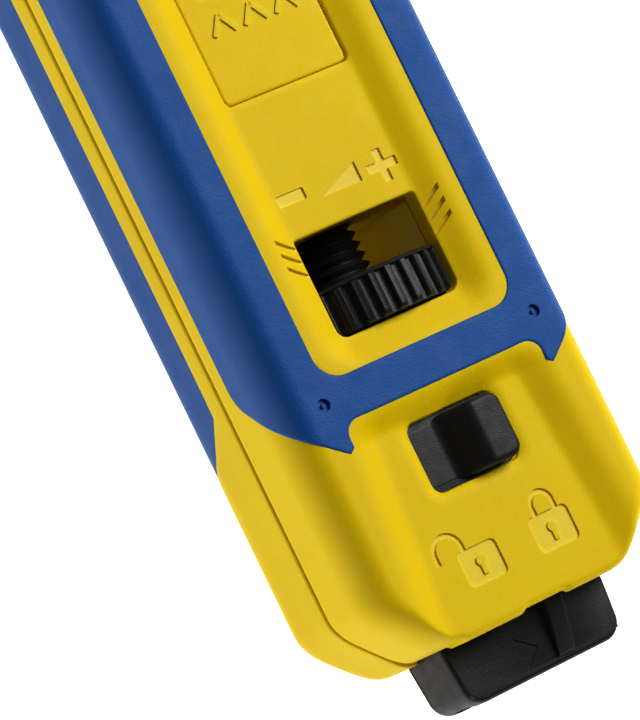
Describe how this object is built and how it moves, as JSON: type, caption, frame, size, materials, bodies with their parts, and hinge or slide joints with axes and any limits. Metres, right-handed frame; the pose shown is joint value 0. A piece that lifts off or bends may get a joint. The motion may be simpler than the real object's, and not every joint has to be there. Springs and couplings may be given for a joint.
{
  "type": "punch down tool",
  "caption": "Impact punch down tool with a flat removable blade head, head lock slider, thumb wheel force adjuster and a blade store under a rocking lid.",
  "frame": {"origin": "middle of the footprint, on the surface that the tool's flat back lies on", "axes": "+Z out of the front face with its wheel and lock, -Y towards the blade end, +X across the tool"},
  "size_m": [0.04, 0.17, 0.0256],
  "materials": {
    "yellow_plastic": "finely textured moulded yellow plastic",
    "blue_grip": "soft matte blue overmould with a fine grain",
    "black_plastic": "matte black glass-filled nylon",
    "grey_plastic": "plain dark grey plastic",
    "steel": "ground hardened steel",
    "spring_steel": "drawn spring wire and strip",
    "black_steel": "blackened screw steel"
  },
  "bodies": {
    "handle": {"front_shell": "yellow_plastic", "rear_shell": "yellow_plastic", "front_grip": "blue_grip", "rear_grip": "blue_grip", "shell_screw_1": "black_steel", "shell_screw_2": "black_steel", "shell_screw_3": "black_steel", "shell_screw_4": "black_steel", "shell_screw_5": "black_steel", "shell_screw_6": "black_steel", "threaded_sleeve": "black_plastic", "trip_cam": "steel", "detent_spring": "spring_steel", "lid_pin": "steel", "blade_tray": "grey_plastic", "spare_blade_1": "steel", "spare_blade_2": "steel"},
    "head": {"blade_head": "black_plastic", "seating_blade": "steel", "cutting_blade": "steel", "ram": "steel", "return_spring": "spring_steel"},
    "striker": {"hammer": "steel", "impact_spring": "spring_steel"},
    "trip": {"trip_latch": "steel"},
    "seat": {"spring_seat": "steel"},
    "adjuster": {"adjuster_wheel": "black_plastic"},
    "lock": {"lock_slider": "black_plastic", "lock_yoke": "steel"},
    "lid": {"store_lid": "yellow_plastic"}
  },
  "joints": [
    {"name": "head_plunge", "type": "slide", "parent": "handle", "child": "head", "axis": [0, 1, 0], "range_m": [0, 0.0055], "stiffness_N_per_m": 3000, "springref_m": -0.002},
    {"name": "hammer_slide", "type": "slide", "parent": "handle", "child": "striker", "axis": [0, 1, 0], "range_m": [0, 0.0055], "deforming": ["impact_spring"]},
    {"name": "trip_slide", "type": "slide", "parent": "striker", "child": "trip", "axis": [-1, 0, 0], "range_m": [0, 0.001]},
    {"name": "adjuster_turn", "type": "hinge", "parent": "seat", "child": "adjuster", "pos_m": [0, -0.039, 0.013], "axis": [0, 1, 0], "range_deg": [0, 1720]},
    {"name": "adjuster_travel", "type": "slide", "parent": "handle", "child": "seat", "axis": [0, 1, 0], "range_m": [0, 0.006]},
    {"name": "lock_slide", "type": "slide", "parent": "handle", "child": "lock", "axis": [-1, 0, 0], "range_m": [0, 0.0035]},
    {"name": "lid_rock", "type": "hinge", "parent": "handle", "child": "lid", "pos_m": [0, 0.005, 0.021], "axis": [1, 0, 0], "range_deg": [0, 22]}
  ],
  "couplings": [
    {"joint": "hammer_slide", "follows": "head_plunge", "ratio": 1},
    {"joint": "trip_slide", "follows": "head_plunge", "ratio": 0.1667},
    {"joint": "adjuster_travel", "follows": "adjuster_turn", "m_per_rad": 0.00019894}
  ]
}
